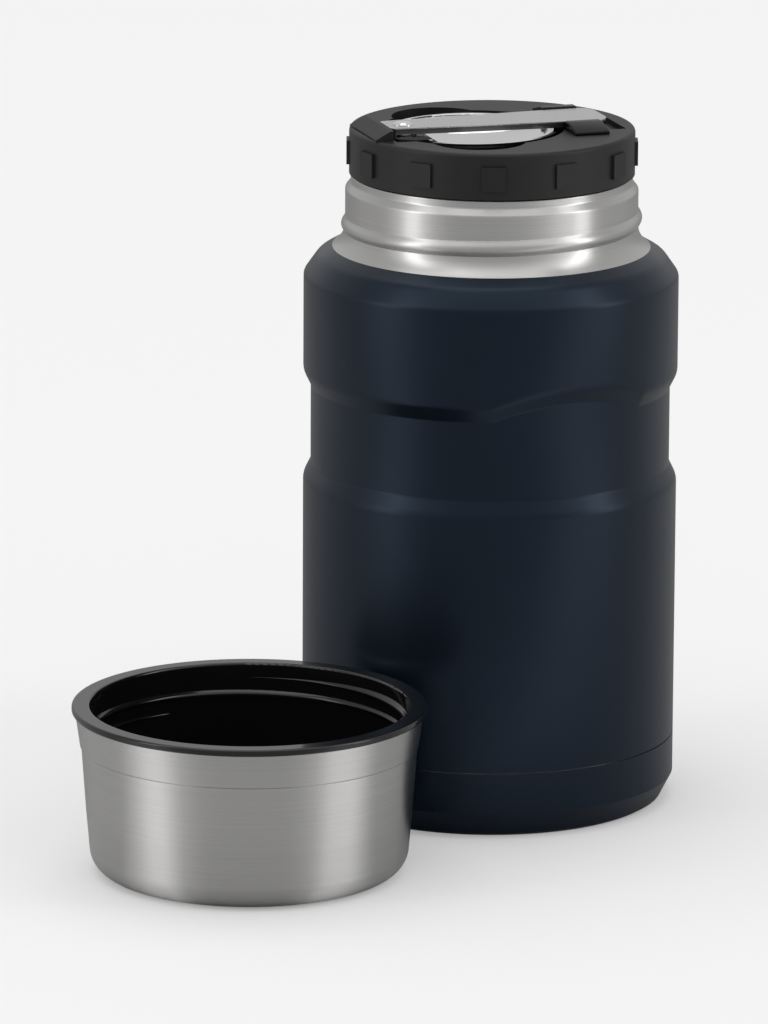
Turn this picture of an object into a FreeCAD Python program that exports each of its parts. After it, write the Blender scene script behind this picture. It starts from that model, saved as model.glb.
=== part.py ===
import FreeCAD, Part

import math
import os

import Sketcher

# Insulated food jar with a screw stopper, a folding spoon held on the stopper,
# and a serving bowl that is also the jar's lid, standing beside the jar.
# Millimetres, +Z up. The origin is the centre of the jar's base.

# Driving sizes

SIZES = {
    # Jar body
    "body_radius": 50.0,
    "shell_wall": 0.8,
    "base_face_inset": 4.5,
    "base_edge_inset": 3.0,
    "base_edge_rise": 0.9,
    "base_chamfer_rise": 6.8,
    "seam_height": 17.9,
    "seam_gap": 0.3,
    "waist_depth": 2.0,
    "waist_low": 91.6,
    "waist_height": 21.2,
    "waist_edge_round": 5.0,
    "shoulder_low": 142.9,
    "shoulder_inset": 3.6,
    "shoulder_rise": 5.1,
    "shoulder_edge_round": 2.5,
    "shoulder_mid_round": 5.0,
    "crown_inset": 4.0,
    "crown_rise": 2.3,
    "flare_inset": 3.4,
    "flare_rise": 2.108,
    "flare_round": 7.2,
    "neck_height": 15.7,
    "collar_rise": 1.8,
    "lip_stand": 2.0,
    "lip_thickness": 0.8,
    # Vacuum vessel
    "vessel_wall": 0.6,
    "vacuum_gap": 7.4,
    "vessel_floor": 8.6,
    "vessel_tube_rise": 2.4,
    "vessel_shoulder_rise": 10.5,
    "neck_gap": 2.2,
    "seat_step": 1.0,
    "seat_depth": 20.3,
    "seat_height": 6.5,
    "dish_height": 6.4,
    "dish_corner": 2.0,
    "weld_clearance": 0.05,
    "vacuum_plate_level": 2.0,
    "vacuum_cup_top": 24.0,
    "vacuum_cup_inset": 5.5,
    "vacuum_cup_bend": 8.0,
    "dimple_radius": 6.0,
    "dimple_rise": 1.4,
    "port_radius": 1.2,
    "seal_bead_radius": 3.0,
    "seal_bead_edge": 0.9,
    "getter_radius": 5.0,
    "getter_thickness": 1.4,
    "foil_clearance": 0.1,
    "foil_thickness": 0.2,
    "foil_rise": 7.4,
    "foil_stop": 3.0,
    # Stopper
    "lip_clearance": 0.35,
    "cover_height": 12.25,
    "cover_overhang": 0.5,
    "cover_skirt_wall": 1.6,
    "deck_thickness": 2.0,
    "cover_edge_round": 1.0,
    "nub_count": 12,
    "nub_width": 6.3,
    "nub_margin": 2.45,
    "nub_height": 6.4,
    "nub_rise": 0.7,
    "plug_clearance": 0.6,
    "plug_recess": 0.7,
    "plug_wall": 1.5,
    "plug_floor": 1.8,
    "flange_thickness": 1.75,
    "fit_clearance": 0.1,
    "groove_rise": 1.8,
    "groove_height": 3.0,
    "groove_depth": 2.4,
    "seal_standout": 0.2,
    "seal_round": 0.8,
    "moving_clearance": 0.3,
    # Spoon recess, measured along the folded spoon from the stopper's axis
    "spoon_azimuth": 17.5,
    "recess_centre": -5.5,
    "recess_clearance": 1.6,
    "scallop_radius": 12.5,
    "scallop_centre": -9.5,
    "scallop_overlap": 6.8,
    "scallop_rise": 3.5,
    "neck_end_clearance": 0.9,
    "neck_side_clearance": 1.5,
    "tail_clearance": 0.24,
    "tray_wall": 1.2,
    "notch_lap": 3.0,
    "notch_reach": 3.1,
    "notch_half_width": 12.5,
    "notch_depth": 1.4,
    "tab_setback": 0.3,
    "tab_length": 5.0,
    "tab_half_width": 11.5,
    "tab_stand": 0.6,
    "tab_slope_run": 4.2,
    "tab_slope_drop": 2.2,
    "clip_lap": 1.6,
    "clip_length": 9.6,
    "clip_clearance": 0.15,
    "clip_width": 9.35,
    "clip_stand": 0.4,
    "clip_slope_run": 6.5,
    "clip_slope_drop": 1.6,
    # Spoon
    "handle_start_inset": 8.2,
    "handle_end_inset": 7.8,
    "handle_half_width_start": 5.5,
    "handle_half_width_end": 9.0,
    "handle_plate": 0.8,
    "handle_height": 1.7,
    "handle_flange": 0.9,
    "handle_start_round": 1.5,
    "handle_end_round": 4.5,
    "rivet_inset": 4.8,
    "rivet_radius": 1.6,
    "rivet_head_radius": 2.7,
    "rivet_head_edge_share": 3.0,
    "rivet_head_rise": 0.55,
    "rivet_head_flat_share": 0.7,
    "rivet_tail_radius": 2.3,
    "rivet_tail_height": 0.5,
    "washer_radius": 3.2,
    "washer_thickness": 0.4,
    "running_clearance": 0.08,
    "neck_drop": 0.35,
    "neck_thickness": 1.15,
    "neck_half_width": 12.0,
    "neck_round": 5.5,
    "slope_clearance": 0.4,
    "boss_radius": 4.2,
    "rim_drop": 0.15,
    "spoon_inset": 15.3,
    "spoon_narrowing": 1.2,
    "spoon_depth": 8.0,
    "spoon_wall": 1.0,
    # Serving bowl
    "bowl_azimuth": 231.0725,
    "bowl_gap": 3.9646,
    "bowl_height": 44.5,
    "bowl_base_taper": 1.4,
    "bowl_base_round": 6.5,
    "bowl_base_band": 16.3,
    "bowl_lower_taper": 1.2,
    "bowl_top_band": 9.1,
    "bowl_upper_taper": 1.6,
    "bowl_step_out": 0.35,
    "bowl_wall": 0.6,
    "rim_width": 4.7,
    "rim_overhang": 0.9,
    "rim_thickness": 1.8,
    "rim_round": 0.6,
    "thread_room": 2.6,
    "liner_floor": 4.2,
    "liner_taper": 2.7,
    "liner_floor_round": 5.0,
    "liner_wall": 1.5,
}


class Size:
    """A length that carries its number and the sheet expression it comes from."""

    def __init__(self, number, text):
        self.number = float(number)
        self.text = text

    def __add__(self, other):
        other = as_size(other)
        return Size(self.number + other.number, f"({self.text} + {other.text})")

    def __sub__(self, other):
        other = as_size(other)
        return Size(self.number - other.number, f"({self.text} - {other.text})")

    def __mul__(self, other):
        other = as_size(other)
        return Size(self.number * other.number, f"({self.text} * {other.text})")

    def __truediv__(self, other):
        other = as_size(other)
        return Size(self.number / other.number, f"({self.text} / {other.text})")

    def __neg__(self):
        return Size(-self.number, f"(0 - {self.text})")

    __radd__ = __add__

    def __rmul__(self, other):
        return as_size(other) * self


def as_size(value):
    """Wrap a plain number as a Size."""
    if isinstance(value, Size):
        return value
    return Size(value, repr(float(value)))


doc = FreeCAD.newDocument("food_jar")
sheet = doc.addObject("Spreadsheet::Sheet", "Sizes")
for row, (alias, number) in enumerate(SIZES.items(), start=1):
    sheet.set(f"A{row}", alias)
    sheet.set(f"B{row}", str(number))
    sheet.setAlias(f"B{row}", alias)
doc.recompute()


def size(alias):
    """Read one driving size from the sheet."""
    return Size(sheet.get(alias), f"Sizes.{alias}")


# Radii and heights worked out from the driving sizes

BASE_FACE_RADIUS = size("body_radius") - size("base_face_inset")
BASE_EDGE_RADIUS = size("body_radius") - size("base_edge_inset")
WAIST_RADIUS = size("body_radius") - size("waist_depth")
WAIST_HIGH = size("waist_low") + size("waist_height")
SHOULDER_MID_RADIUS = size("body_radius") - size("shoulder_inset")
SHOULDER_MID = size("shoulder_low") + size("shoulder_rise")
CROWN_RADIUS = SHOULDER_MID_RADIUS - size("crown_inset")
CROWN = SHOULDER_MID + size("crown_rise")
NECK_RADIUS = CROWN_RADIUS - size("flare_inset")
COLLAR_LOW = CROWN + size("neck_height")
COLLAR_HIGH = COLLAR_LOW + size("collar_rise")
LIP_TOP = COLLAR_HIGH + size("lip_stand")

MOUTH_RADIUS = NECK_RADIUS - size("shell_wall") - size("neck_gap")
LIP_OUTER_RADIUS = MOUTH_RADIUS + size("vessel_wall") + size("fit_clearance") + size("shell_wall")
VESSEL_RADIUS = size("body_radius") - size("shell_wall") - size("vacuum_gap") - size("vessel_wall")
VESSEL_TUBE_LOW = size("vessel_floor") + size("vessel_tube_rise")
SEAT_RADIUS = MOUTH_RADIUS - size("seat_step")
SEAT_LOW = LIP_TOP - size("seat_depth")
SEAT_HIGH = SEAT_LOW + size("seat_height")
MOUTH_LOW = SEAT_HIGH + size("seat_step")
VESSEL_SHOULDER_LOW = SEAT_LOW - size("vessel_shoulder_rise")
VACUUM_CUP_FLOOR_RADIUS = size("body_radius") - size("vacuum_cup_inset")

COVER_RADIUS = LIP_OUTER_RADIUS + size("cover_overhang")
COVER_LOW = LIP_TOP + size("lip_clearance")
COVER_TOP = COVER_LOW + size("cover_height")
DECK_LOW = COVER_TOP - size("deck_thickness")
NUB_LOW = COVER_LOW + size("nub_margin")
NUB_HIGH = NUB_LOW + size("nub_height")
PLUG_RADIUS = SEAT_RADIUS - size("plug_clearance")
PLUG_LOW = SEAT_LOW + size("plug_recess")
GROOVE_LOW = PLUG_LOW + size("groove_rise")
GROOVE_HIGH = GROOVE_LOW + size("groove_height")

HANDLE_START = size("handle_start_inset") - COVER_RADIUS
HANDLE_END = COVER_RADIUS - size("handle_end_inset")
HANDLE_LOW = COVER_TOP + size("moving_clearance")
HANDLE_TOP = HANDLE_LOW + size("handle_height")
RIVET_PLACE = HANDLE_START + size("rivet_inset")
NECK_TOP = HANDLE_LOW - size("neck_drop")
NECK_LOW = NECK_TOP - size("neck_thickness")
NECK_SLOPE_START = RIVET_PLACE + size("washer_radius") + size("slope_clearance")
BOSS_TOP = HANDLE_TOP - size("handle_plate") - size("running_clearance")
WASHER_TOP = NECK_LOW - size("running_clearance")
RIVET_TAIL_TOP = WASHER_TOP - size("washer_thickness") - size("running_clearance")
RIVET_TAIL_LOW = RIVET_TAIL_TOP - size("rivet_tail_height")
SPOON_RIM = NECK_TOP - size("rim_drop")
SPOON_HALF_LENGTH = COVER_RADIUS - size("spoon_inset")
SPOON_HALF_WIDTH = SPOON_HALF_LENGTH - size("spoon_narrowing")

RECESS_RADIUS = SPOON_HALF_LENGTH + size("recess_clearance")
RECESS_FLOOR = SPOON_RIM - size("spoon_depth") - size("moving_clearance")
SCALLOP_OFFSET = RECESS_RADIUS - size("scallop_overlap")
SCALLOP_FLOOR = RECESS_FLOOR + size("scallop_rise")
NECK_RECESS_END = HANDLE_START - size("neck_end_clearance")
NECK_RECESS_HALF_WIDTH = size("neck_half_width") + size("neck_side_clearance")
NECK_RECESS_FLOOR = RIVET_TAIL_LOW - size("tail_clearance")
TRAY_LOW = RECESS_FLOOR - size("tray_wall")
NOTCH_START = HANDLE_END - size("notch_lap")
NOTCH_END = HANDLE_END + size("notch_reach")
TAB_INNER = NECK_RECESS_END - size("tab_setback")
TAB_OUTER = TAB_INNER - size("tab_length")
TAB_TOP = HANDLE_TOP + size("tab_stand")
CLIP_START = size("recess_centre") + RECESS_RADIUS - size("clip_lap")
CLIP_END = CLIP_START + size("clip_length")
CLIP_INNER = size("handle_half_width_end") + size("clip_clearance")
CLIP_OUTER = CLIP_INNER + size("clip_width")
CLIP_TOP = HANDLE_TOP + size("clip_stand")

LINER_MOUTH_RADIUS = NECK_RADIUS + size("thread_room")
LINER_FLOOR_RADIUS = LINER_MOUTH_RADIUS - size("liner_taper")
RIM_RADIUS = LINER_MOUTH_RADIUS + size("rim_width")
BOWL_TOP_RADIUS = RIM_RADIUS - size("rim_overhang")
BOWL_STEP_RADIUS = BOWL_TOP_RADIUS - size("bowl_upper_taper")
BOWL_MID_RADIUS = BOWL_STEP_RADIUS - size("bowl_lower_taper")
BOWL_BASE_RADIUS = BOWL_MID_RADIUS - size("bowl_base_taper")
BOWL_TOP = size("bowl_height") - size("rim_thickness")
BOWL_STEP = BOWL_TOP - size("bowl_top_band")
BOWL_DISTANCE = size("body_radius") + RIM_RADIUS + size("bowl_gap")

# Building helpers

ORIGIN = -1
ORIGIN_POINT = 1
START = 1
CENTRE_INDEX = 3
FULL_TURN = 360.0
NEARLY = 0.02
SLOPE = math.sqrt(2)


def new_body(label):
    """Add an empty body that makes one sub-part."""
    body = doc.addObject("PartDesign::Body", label)
    body.Label = label
    return body


def new_sketch(body, plane, name, level=0):
    """Attach a sketch to an origin plane of its body, raised by level."""
    sketch = body.newObject("Sketcher::SketchObject", name)
    for feature in body.Origin.OriginFeatures:
        if feature.Role == plane:
            sketch.AttachmentSupport = [(feature, "")]
    sketch.MapMode = "FlatFace"
    level = as_size(level)
    sketch.AttachmentOffset.Base.z = level.number
    sketch.setExpression("AttachmentOffset.Base.z", level.text)
    return sketch


def fix_point(sketch, geometry, point, across, up):
    """Hold a point of the sketch at two bound distances from the origin."""
    for kind, distance in (("DistanceX", as_size(across)), ("DistanceY", as_size(up))):
        index = sketch.addConstraint(
            Sketcher.Constraint(kind, ORIGIN, ORIGIN_POINT, geometry, point, distance.number)
        )
        sketch.setExpression(f"Constraints[{index}]", distance.text)


def draw_outline(sketch, corners):
    """Draw a closed outline of straight lines through bound corners."""
    corners = [(as_size(across), as_size(up)) for across, up in corners]
    points = [FreeCAD.Vector(across.number, up.number, 0) for across, up in corners]
    count = len(points)
    for i in range(count):
        sketch.addGeometry(Part.LineSegment(points[i], points[(i + 1) % count]), False)
    for i in range(count):
        sketch.addConstraint(Sketcher.Constraint("Coincident", i, 2, (i + 1) % count, START))
    for i, (across, up) in enumerate(corners):
        fix_point(sketch, i, START, across, up)


def draw_circle(sketch, across, up, radius):
    """Draw a bound circle."""
    across, up, radius = as_size(across), as_size(up), as_size(radius)
    centre = FreeCAD.Vector(across.number, up.number, 0)
    circle = Part.Circle(centre, FreeCAD.Vector(0, 0, 1), radius.number)
    geometry = sketch.addGeometry(circle, False)
    fix_point(sketch, geometry, CENTRE_INDEX, across, up)
    index = sketch.addConstraint(Sketcher.Constraint("Radius", geometry, radius.number))
    sketch.setExpression(f"Constraints[{index}]", radius.text)


def draw_rectangle(sketch, start, end, half_width):
    """Draw a rectangle along X, centred on the X axis."""
    draw_outline(
        sketch,
        [(start, -as_size(half_width)), (end, -as_size(half_width)), (end, half_width), (start, half_width)],
    )


def add_revolution(body, name, corners):
    """Turn an outline of radius and height pairs about the Z axis of the body."""
    sketch = new_sketch(body, "XZ_Plane", name + "_outline")
    draw_outline(sketch, corners)
    revolution = body.newObject("PartDesign::Revolution", name)
    revolution.Profile = sketch
    revolution.ReferenceAxis = (sketch, ["V_Axis"])
    revolution.Angle = FULL_TURN
    doc.recompute()
    return revolution


def add_pad(body, name, sketch, height):
    """Raise a sketch into a solid."""
    pad = body.newObject("PartDesign::Pad", name)
    pad.Profile = sketch
    pad.Length = as_size(height).number
    pad.setExpression("Length", as_size(height).text)
    doc.recompute()
    return pad


def add_pocket(body, name, sketch, depth):
    """Cut a sketch down into the body, and prove that it cut something."""
    before = body.Shape.Volume
    pocket = body.newObject("PartDesign::Pocket", name)
    pocket.Profile = sketch
    pocket.Length = as_size(depth).number
    pocket.setExpression("Length", as_size(depth).text)
    doc.recompute()
    if body.Shape.Volume >= before:
        raise ValueError(f"{name} cuts nothing")
    return pocket


def ring_edges(body, places):
    """Name the circular edges about the Z axis at each radius and height."""
    wanted = [(as_size(radius).number, as_size(height).number) for radius, height in places]
    names = []
    for number, edge in enumerate(body.Shape.Edges, start=1):
        if not isinstance(edge.Curve, Part.Circle):
            continue
        for radius, height in wanted:
            if abs(edge.Curve.Radius - radius) < NEARLY and abs(edge.Curve.Center.z - height) < NEARLY:
                names.append(f"Edge{number}")
    return names


def upright_edges(body, places):
    """Name the vertical edges that stand at each X and Y place."""
    wanted = [(as_size(across).number, as_size(along).number) for across, along in places]
    names = []
    for number, edge in enumerate(body.Shape.Edges, start=1):
        low, high = edge.Vertexes[0].Point, edge.Vertexes[-1].Point
        upright = math.hypot(high.x - low.x, high.y - low.y) < NEARLY and abs(high.z - low.z) > NEARLY
        if not upright:
            continue
        for across, along in wanted:
            if math.hypot(low.x - across, low.y - along) < NEARLY:
                names.append(f"Edge{number}")
    return names


def round_edges(body, name, edges, radius):
    """Round the named edges of the body's last feature."""
    if not edges:
        raise ValueError(f"{name} finds no edge")
    base = body.Tip
    fillet = body.newObject("PartDesign::Fillet", name)
    fillet.Base = (base, edges)
    fillet.Radius = as_size(radius).number
    fillet.setExpression("Radius", as_size(radius).text)
    doc.recompute()
    return fillet


def turn_with_spoon(body):
    """Turn a sub-part that is built along X to the folded spoon's direction."""
    azimuth = size("spoon_azimuth")
    rotation = FreeCAD.Rotation(FreeCAD.Vector(0, 0, 1), azimuth.number)
    body.Placement = FreeCAD.Placement(FreeCAD.Vector(0, 0, 0), rotation)
    body.setExpression("Placement.Rotation.Angle", azimuth.text)


def stand_beside_jar(body):
    """Move a sub-part of the serving bowl to its place beside the jar."""
    place_around_jar(body, BOWL_DISTANCE, size("bowl_azimuth"))


def place_around_jar(body, reach, azimuth):
    """Move a sub-part out from the jar's axis by a reach in a direction."""
    angle = math.radians(azimuth.number)
    body.Placement.Base = FreeCAD.Vector(
        reach.number * math.cos(angle), reach.number * math.sin(angle), 0
    )
    body.setExpression("Placement.Base.x", f"{reach.text} * cos({azimuth.text} * 1 deg)")
    body.setExpression("Placement.Base.y", f"{reach.text} * sin({azimuth.text} * 1 deg)")


# Jar body

def waist_edge_rise():
    """Height over which the waist's edge slopes out to the body's full radius."""
    edge, depth = size("waist_edge_round"), size("waist_depth")
    return Size(
        math.sqrt(edge.number**2 - (edge.number - depth.number) ** 2),
        f"sqrt({edge.text}^2 - {(edge - depth).text}^2)",
    )


def make_outer_shell():
    """Outer steel wall from the seam up to the mouth, with its waist and rolled collar."""
    body = new_body("outer_shell")
    outer, wall, waist, neck = size("body_radius"), size("shell_wall"), WAIST_RADIUS, NECK_RADIUS
    low = size("seam_height") + size("seam_gap") / 2
    top = LIP_TOP - size("lip_thickness")
    rise = waist_edge_rise()
    shoulder, crown = (outer, size("shoulder_low")), (SHOULDER_MID_RADIUS, SHOULDER_MID)
    flare = (neck, CROWN + size("flare_rise"))
    waist_edges = [(outer, size("waist_low") - rise), (outer, WAIST_HIGH + rise)]
    outside = [
        (outer, low),
        waist_edges[0],
        (waist, size("waist_low")),
        (waist, WAIST_HIGH),
        waist_edges[1],
        shoulder,
        crown,
        (CROWN_RADIUS, CROWN),
        flare,
        (neck, COLLAR_LOW),
        (LIP_OUTER_RADIUS, COLLAR_HIGH),
        (LIP_OUTER_RADIUS, top),
    ]
    inside = [(radius - wall, height) for radius, height in reversed(outside)]
    add_revolution(body, "wall", outside + inside)
    round_edges(body, "shoulder_edge", ring_edges(body, [shoulder]), size("shoulder_edge_round"))
    round_edges(body, "crown_edge", ring_edges(body, [crown]), size("shoulder_mid_round"))
    round_edges(body, "flare_edge", ring_edges(body, [flare]), size("flare_round"))
    round_edges(body, "waist_edges", ring_edges(body, waist_edges), size("waist_edge_round"))
    return body


def make_base_cap():
    """Painted cap pressed over the foot of the jar, below the seam."""
    body = new_body("base_cap")
    outer, wall = size("body_radius"), size("shell_wall")
    face, edge = BASE_FACE_RADIUS, BASE_EDGE_RADIUS
    rise, chamfer = size("base_edge_rise"), size("base_chamfer_rise")
    top = size("seam_height") - size("seam_gap") / 2
    add_revolution(
        body,
        "cap",
        [
            (0, 0),
            (face, 0),
            (edge, rise),
            (outer, chamfer),
            (outer, top),
            (outer - wall, top),
            (outer - wall, chamfer),
            (edge - wall, rise + wall),
            (face - wall, wall),
            (0, wall),
        ],
    )
    return body


def make_outer_bottom():
    """Steel cup that closes the vacuum below, with a dimple round its evacuation port."""
    body = new_body("outer_bottom")
    wall = size("vessel_wall")
    outer = size("body_radius") - size("shell_wall") - size("weld_clearance")
    level, floor = size("vacuum_plate_level"), VACUUM_CUP_FLOOR_RADIUS
    bend, top = size("vacuum_cup_bend"), size("vacuum_cup_top")
    port, dimple, rise = size("port_radius"), size("dimple_radius"), size("dimple_rise")
    add_revolution(
        body,
        "cup",
        [
            (port, level + rise),
            (dimple, level + rise),
            (dimple + rise, level),
            (floor, level),
            (outer, bend),
            (outer, top),
            (outer - wall, top),
            (outer - wall, bend + wall / 2),
            (floor - wall / 2, level + wall),
            (dimple + rise + wall / 2, level + wall),
            (dimple + wall / 2, level + rise + wall),
            (port, level + rise + wall),
        ],
    )
    return body


def make_vacuum_seal():
    """Bead that closes the evacuation port from below."""
    body = new_body("vacuum_seal")
    radius, edge, rise = size("seal_bead_radius"), size("seal_bead_edge"), size("dimple_rise")
    top = size("vacuum_plate_level") + rise
    add_revolution(
        body,
        "bead",
        [(0, top - rise), (radius - edge, top - rise), (radius, top - rise / 2), (radius, top), (0, top)],
    )
    return body


def make_inner_vessel():
    """Inner steel wall that holds the food, with the plug's seat, the mouth and the rolled lip."""
    body = new_body("inner_vessel")
    wall, tube = size("vessel_wall"), VESSEL_RADIUS
    seat, mouth = SEAT_RADIUS, MOUTH_RADIUS
    lip_top, lip_low = LIP_TOP, LIP_TOP - size("lip_thickness")
    course = [
        (tube, VESSEL_TUBE_LOW),
        (tube, VESSEL_SHOULDER_LOW),
        (seat, SEAT_LOW),
        (seat, SEAT_HIGH),
        (mouth, MOUTH_LOW),
    ]
    outside = [(radius + wall, height) for radius, height in reversed(course)]
    add_revolution(
        body,
        "wall",
        course
        + [(mouth, lip_top), (LIP_OUTER_RADIUS, lip_top), (LIP_OUTER_RADIUS, lip_low)]
        + [(mouth + wall, lip_low)]
        + outside,
    )
    lip = [(mouth, lip_top), (LIP_OUTER_RADIUS, lip_top)]
    round_edges(body, "lip_edges", ring_edges(body, lip), size("lip_thickness") / 2)
    return body


def make_inner_bottom():
    """Dished steel floor welded into the foot of the inner wall."""
    body = new_body("inner_bottom")
    wall = size("vessel_wall")
    outer = VESSEL_RADIUS - size("weld_clearance")
    floor, corner = size("vessel_floor"), size("dish_corner")
    top = floor + size("dish_height")
    add_revolution(
        body,
        "dish",
        [
            (0, floor - wall),
            (outer - corner, floor - wall),
            (outer, floor - wall + corner),
            (outer, top),
            (outer - wall, top),
            (outer - wall, floor + corner),
            (outer - wall - corner, floor),
            (0, floor),
        ],
    )
    return body


def make_getter():
    """Small pill under the inner floor that keeps the vacuum."""
    body = new_body("getter")
    top = size("vessel_floor") - size("vessel_wall")
    sketch = new_sketch(body, "XY_Plane", "pill_outline", top - size("getter_thickness"))
    draw_circle(sketch, 0, 0, size("getter_radius"))
    add_pad(body, "pill", sketch, size("getter_thickness"))
    return body


def make_reflector_foil():
    """Thin metal foil wrapped round the inner wall inside the vacuum."""
    body = new_body("reflector_foil")
    inner = VESSEL_RADIUS + size("vessel_wall") + size("foil_clearance")
    low, high = size("vessel_floor") + size("foil_rise"), VESSEL_SHOULDER_LOW - size("foil_stop")
    sketch = new_sketch(body, "XY_Plane", "wrap_outline", low)
    draw_circle(sketch, 0, 0, inner)
    draw_circle(sketch, 0, 0, inner + size("foil_thickness"))
    add_pad(body, "wrap", sketch, high - low)
    return body


# Stopper

def draw_recess_cuts(body, top, recess_floor, scallop_floor, neck_floor):
    """Cut the spoon's round recess, the two finger scallops and the neck's slot, from top down."""
    sketch = new_sketch(body, "XY_Plane", "recess_outline", top)
    draw_circle(sketch, size("recess_centre"), 0, RECESS_RADIUS)
    add_pocket(body, "recess", sketch, top - recess_floor)
    for side, name in ((1, "back_scallop"), (-1, "front_scallop")):
        sketch = new_sketch(body, "XY_Plane", name + "_outline", top)
        draw_circle(sketch, size("scallop_centre"), SCALLOP_OFFSET * side, size("scallop_radius"))
        add_pocket(body, name, sketch, top - scallop_floor)
    sketch = new_sketch(body, "XY_Plane", "neck_slot_outline", top)
    draw_rectangle(sketch, NECK_RECESS_END, size("recess_centre"), NECK_RECESS_HALF_WIDTH)
    add_pocket(body, "neck_slot", sketch, top - neck_floor)


def make_stopper_cover():
    """Cover with its gripping skirt, the deck with the spoon's opening, and the end tab."""
    body = new_body("stopper_cover")
    outer, top, low = COVER_RADIUS, COVER_TOP, COVER_LOW
    skirt, deck = size("cover_skirt_wall"), size("deck_thickness")
    add_revolution(
        body,
        "cap",
        [
            (0, top - deck),
            (outer - skirt, top - deck),
            (outer - skirt, low),
            (outer, low),
            (outer, top),
            (0, top),
        ],
    )
    round_edges(body, "top_edge", ring_edges(body, [(outer, top)]), size("cover_edge_round"))
    draw_recess_cuts(body, top, top - deck, top - deck, top - deck)
    sketch = new_sketch(body, "XY_Plane", "notch_outline", top)
    draw_rectangle(sketch, NOTCH_START, NOTCH_END, size("notch_half_width"))
    add_pocket(body, "notch", sketch, size("notch_depth"))
    add_end_tab(body)
    add_nubs(body)
    turn_with_spoon(body)
    return body


def add_end_tab(body):
    """Raise the tab that stops the handle's hinged end, sloping down to the rim."""
    half = size("tab_half_width")
    sketch = new_sketch(body, "XZ_Plane", "tab_section", -half)
    outer, inner = TAB_OUTER, TAB_INNER
    low, top = COVER_TOP - size("deck_thickness"), TAB_TOP
    ridge, eave = outer + size("tab_slope_run"), top - size("tab_slope_drop")
    draw_outline(sketch, [(outer, low), (inner, low), (inner, top), (ridge, top), (outer, eave)])
    add_pad(body, "tab", sketch, half * 2)


def add_nubs(body):
    """Raise one gripping nub on the skirt and repeat it all round."""
    reach = COVER_RADIUS - size("cover_skirt_wall") / 2
    sketch = new_sketch(body, "XZ_Plane", "nub_outline", reach)
    azimuth = size("spoon_azimuth")
    turn = FreeCAD.Rotation(FreeCAD.Vector(0, 1, 0), -azimuth.number)
    sketch.AttachmentOffset = FreeCAD.Placement(turn.multVec(FreeCAD.Vector(0, 0, reach.number)), turn)
    sketch.setExpression("AttachmentOffset.Base.x", f"0 - {reach.text} * sin({azimuth.text} * 1 deg)")
    sketch.setExpression("AttachmentOffset.Base.z", f"{reach.text} * cos({azimuth.text} * 1 deg)")
    sketch.setExpression("AttachmentOffset.Rotation.Angle", (-azimuth).text)
    half, low, high = size("nub_width") / 2, NUB_LOW, NUB_HIGH
    draw_outline(sketch, [(-half, low), (half, low), (half, high), (-half, high)])
    nub = add_pad(body, "nub", sketch, COVER_RADIUS + size("nub_rise") - reach)
    pattern = body.newObject("PartDesign::PolarPattern", "nubs")
    pattern.Originals = [nub]
    for feature in body.Origin.OriginFeatures:
        if feature.Role == "Z_Axis":
            pattern.Axis = (feature, [""])
    pattern.Angle = FULL_TURN
    pattern.Occurrences = round(size("nub_count").number)
    pattern.setExpression("Occurrences", size("nub_count").text)
    body.Tip = pattern
    doc.recompute()


def make_spoon_tray():
    """Tray below the deck that takes the folded spoon's bowl and the fingertips."""
    body = new_body("spoon_tray")
    wall = size("tray_wall")
    top = COVER_TOP - size("deck_thickness")
    floor = RECESS_FLOOR
    sketch = new_sketch(body, "XY_Plane", "tub_outline", floor - wall)
    draw_circle(sketch, size("recess_centre"), 0, RECESS_RADIUS + wall)
    add_pad(body, "tub", sketch, top - floor + wall)
    scallop = SCALLOP_FLOOR
    for side, name in ((1, "back_well"), (-1, "front_well")):
        sketch = new_sketch(body, "XY_Plane", name + "_outline", scallop - wall)
        across = size("scallop_centre")
        draw_circle(sketch, across, SCALLOP_OFFSET * side, size("scallop_radius") + wall)
        add_pad(body, name, sketch, top - scallop + wall)
    neck = NECK_RECESS_FLOOR
    sketch = new_sketch(body, "XY_Plane", "shelf_outline", neck - wall)
    reach, half = NECK_RECESS_END - wall, NECK_RECESS_HALF_WIDTH + wall
    draw_rectangle(sketch, reach, size("recess_centre"), half)
    add_pad(body, "shelf", sketch, top - neck + wall)
    draw_recess_cuts(body, top, floor, scallop, neck)
    turn_with_spoon(body)
    return body


def make_spoon_clips():
    """Two blocks on the deck that hold the handle's edges, one on each side."""
    body = new_body("spoon_clips")
    low, top = COVER_TOP, CLIP_TOP
    start, end = CLIP_START, CLIP_END
    inner, outer = CLIP_INNER, CLIP_OUTER
    run, drop = size("clip_slope_run"), size("clip_slope_drop")
    sketch = new_sketch(body, "YZ_Plane", "clip_section", start)
    draw_outline(
        sketch,
        [(-inner, low), (-inner, top), (run - outer, top), (-outer, top - drop), (-outer, low)],
    )
    add_pad(body, "front_clip", sketch, end - start)
    return body


def make_spoon_clips_pair():
    """Both clips in one node, since they are alike."""
    front = make_spoon_clips()
    front.Label = "front_clip_half"
    mirror = doc.addObject("Part::Mirroring", "back_clip_half")
    mirror.Source = front
    mirror.Normal = FreeCAD.Vector(0, 1, 0)
    pair = doc.addObject("Part::Compound", "spoon_clips_pair")
    pair.Links = [front, mirror]
    pair.Label = "spoon_clips"
    turn_with_spoon(pair)
    doc.recompute()
    return pair


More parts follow.
